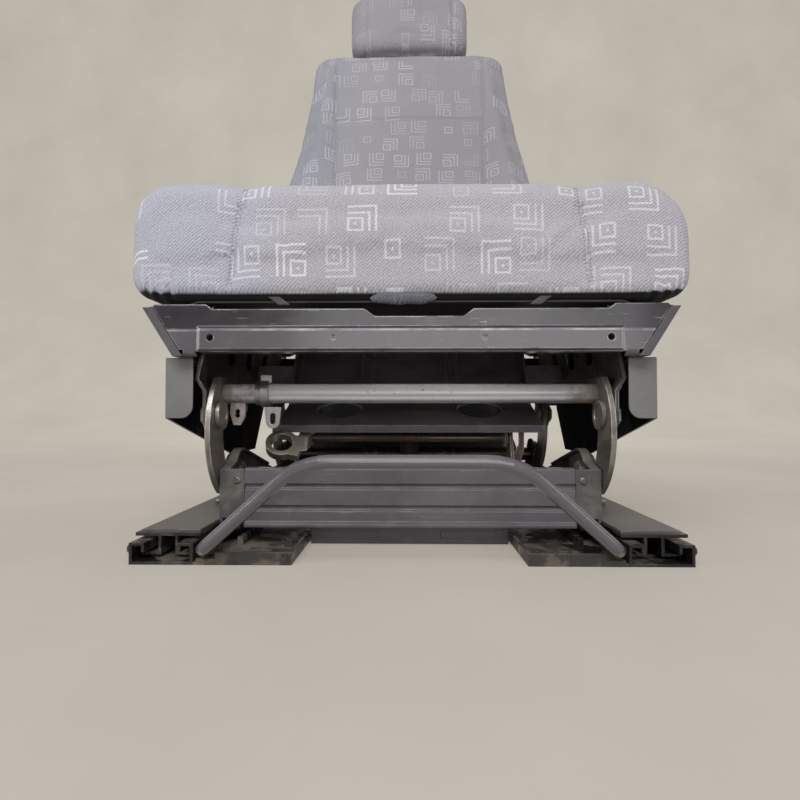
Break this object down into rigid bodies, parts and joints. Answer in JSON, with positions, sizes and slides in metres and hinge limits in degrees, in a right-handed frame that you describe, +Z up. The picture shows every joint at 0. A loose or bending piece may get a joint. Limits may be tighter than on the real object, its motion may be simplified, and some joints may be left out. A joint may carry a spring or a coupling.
{
  "type": "suspension driver's seat",
  "caption": "Cushioned vehicle driver's seat on slide rails, with a swing-arm suspension, a slide release bar, a reclining backrest and a sliding head restraint.",
  "frame": {"origin": "centre of the four floor bolts, on the floor", "axes": "+Z up, the seat faces -Y, +X towards the occupant's left"},
  "size_m": [0.5223, 0.7256, 1.0017],
  "materials": {
    "rail_steel": "matte",
    "black_paint": "satin",
    "grey_paint": "satin",
    "bare_steel": "satin",
    "zinc": "satin",
    "spring_steel": "satin",
    "post_chrome": "gloss",
    "black_plastic": "matte",
    "seat_cloth": "matte"
  },
  "bodies": {
    "floor_rails": {"lower_rail_left": "rail_steel", "lower_rail_right": "rail_steel", "floor_plate_left": "rail_steel", "floor_plate_right": "rail_steel", "latch_rack_left": "rail_steel", "latch_rack_right": "rail_steel", "floor_tie_plate": "black_paint", "rail_studs": "rail_steel"},
    "carriage": {"upper_rail_left": "rail_steel", "upper_rail_right": "rail_steel", "slide_shoes": "black_plastic", "side_plate_left": "grey_paint", "side_plate_right": "grey_paint", "lower_front_member": "black_paint", "lower_rear_member": "black_paint", "frame_bolts": "zinc", "lower_pivot_bolts": "zinc", "spring_anchor": "zinc", "damper_beam": "black_paint", "spring_left": "spring_steel", "spring_right": "spring_steel"},
    "towel_bar": {"towel_bar": "black_paint"},
    "latch_pawl_left": {"latch_pawl_left": "zinc"},
    "latch_pawl_right": {"latch_pawl_right": "zinc"},
    "front_arms": {"front_arm_left": "bare_steel", "front_arm_right": "bare_steel", "torque_shaft": "bare_steel", "shaft_collar": "zinc", "stop_link": "zinc"},
    "rear_arms": {"rear_arm_left": "bare_steel", "rear_arm_right": "bare_steel", "rear_pivot_tube": "bare_steel"},
    "damper_body": {"damper_tube": "black_paint"},
    "damper_piston": {"damper_rod": "bare_steel"},
    "upper_frame": {"upper_front_member": "black_paint", "upper_rear_member": "black_paint", "side_rail_left": "black_paint", "side_rail_right": "black_paint", "hanger_left": "bare_steel", "hanger_right": "bare_steel", "upper_pivot_bolts": "zinc", "valance_left": "grey_paint", "valance_right": "grey_paint", "seat_pan": "black_paint", "spring_tray": "black_paint", "tray_rod": "zinc", "eye_bracket": "zinc", "damper_mount": "black_paint", "seat_cushion": "seat_cloth", "recliner_bracket_left": "black_paint", "recliner_bracket_right": "black_paint"},
    "recline_lever": {"recline_lever": "black_plastic"},
    "backrest": {"backrest_frame_left": "black_paint", "backrest_frame_right": "black_paint", "backrest_bars": "black_paint", "backrest_shell": "black_plastic", "backrest_cushion": "seat_cloth", "headrest_guides": "black_plastic"},
    "headrest": {"headrest_posts": "post_chrome", "headrest_pad": "seat_cloth"}
  },
  "joints": [
    {"name": "slide_adjust", "type": "slide", "parent": "floor_rails", "child": "carriage", "axis": [0, 1, 0], "range_m": [-0.09, 0.09]},
    {"name": "release_lift", "type": "hinge", "parent": "carriage", "child": "towel_bar", "pos_m": [0, -0.14, 0.02], "axis": [-1, 0, 0], "range_deg": [0, 8], "stiffness_Nm_per_rad": 1.5, "springref_deg": -11.46},
    {"name": "pawl_lift_left", "type": "hinge", "parent": "carriage", "child": "latch_pawl_left", "pos_m": [0.18, -0.084, 0.018], "axis": [1, 0, 0], "range_deg": [0, 8.1]},
    {"name": "pawl_lift_right", "type": "hinge", "parent": "carriage", "child": "latch_pawl_right", "pos_m": [-0.18, -0.084, 0.018], "axis": [1, 0, 0], "range_deg": [0, 8.1]},
    {"name": "suspension", "type": "hinge", "parent": "carriage", "child": "front_arms", "pos_m": [0, -0.104, 0.07], "axis": [1, 0, 0], "range_deg": [0, 40], "stiffness_Nm_per_rad": 110, "springref_deg": -15.76, "deforming": ["spring_left", "spring_right"]},
    {"name": "rear_swing", "type": "hinge", "parent": "carriage", "child": "rear_arms", "pos_m": [0, 0.15, 0.07], "axis": [1, 0, 0], "range_deg": [0, 40.2]},
    {"name": "upper_level", "type": "hinge", "parent": "front_arms", "child": "upper_frame", "pos_m": [0, -0.152, 0.132], "axis": [1, 0, 0], "range_deg": [-40.2, 0]},
    {"name": "damper_swing", "type": "hinge", "parent": "carriage", "child": "damper_body", "pos_m": [0, 0.09, 0.046], "axis": [1, 0, 0], "range_deg": [0, 28.4]},
    {"name": "damper_stroke", "type": "slide", "parent": "damper_body", "child": "damper_piston", "axis": [0, -0.359, 0.9333], "range_m": [-0.0206, 0]},
    {"name": "recline", "type": "hinge", "parent": "upper_frame", "child": "backrest", "pos_m": [0, 0.3, 0.29], "axis": [-1, 0, 0], "range_deg": [-10, 35]},
    {"name": "lever_pull", "type": "hinge", "parent": "upper_frame", "child": "recline_lever", "pos_m": [0.255, 0.3, 0.29], "axis": [-1, 0, 0], "range_deg": [0, 20], "stiffness_Nm_per_rad": 1, "springref_deg": -17.19},
    {"name": "headrest_height", "type": "slide", "parent": "backrest", "child": "headrest", "axis": [0, 0.1392, 0.9903], "range_m": [0, 0.06]}
  ],
  "couplings": [
    {"joint": "pawl_lift_left", "follows": "release_lift", "ratio": 1},
    {"joint": "pawl_lift_right", "follows": "release_lift", "ratio": 1},
    {"joint": "rear_swing", "follows": "suspension", "ratio": 1},
    {"joint": "upper_level", "follows": "suspension", "ratio": -1},
    {"joint": "damper_swing", "follows": "suspension", "ratio": 0.7025},
    {"joint": "damper_stroke", "follows": "suspension", "m_per_rad": -0.02907}
  ]
}
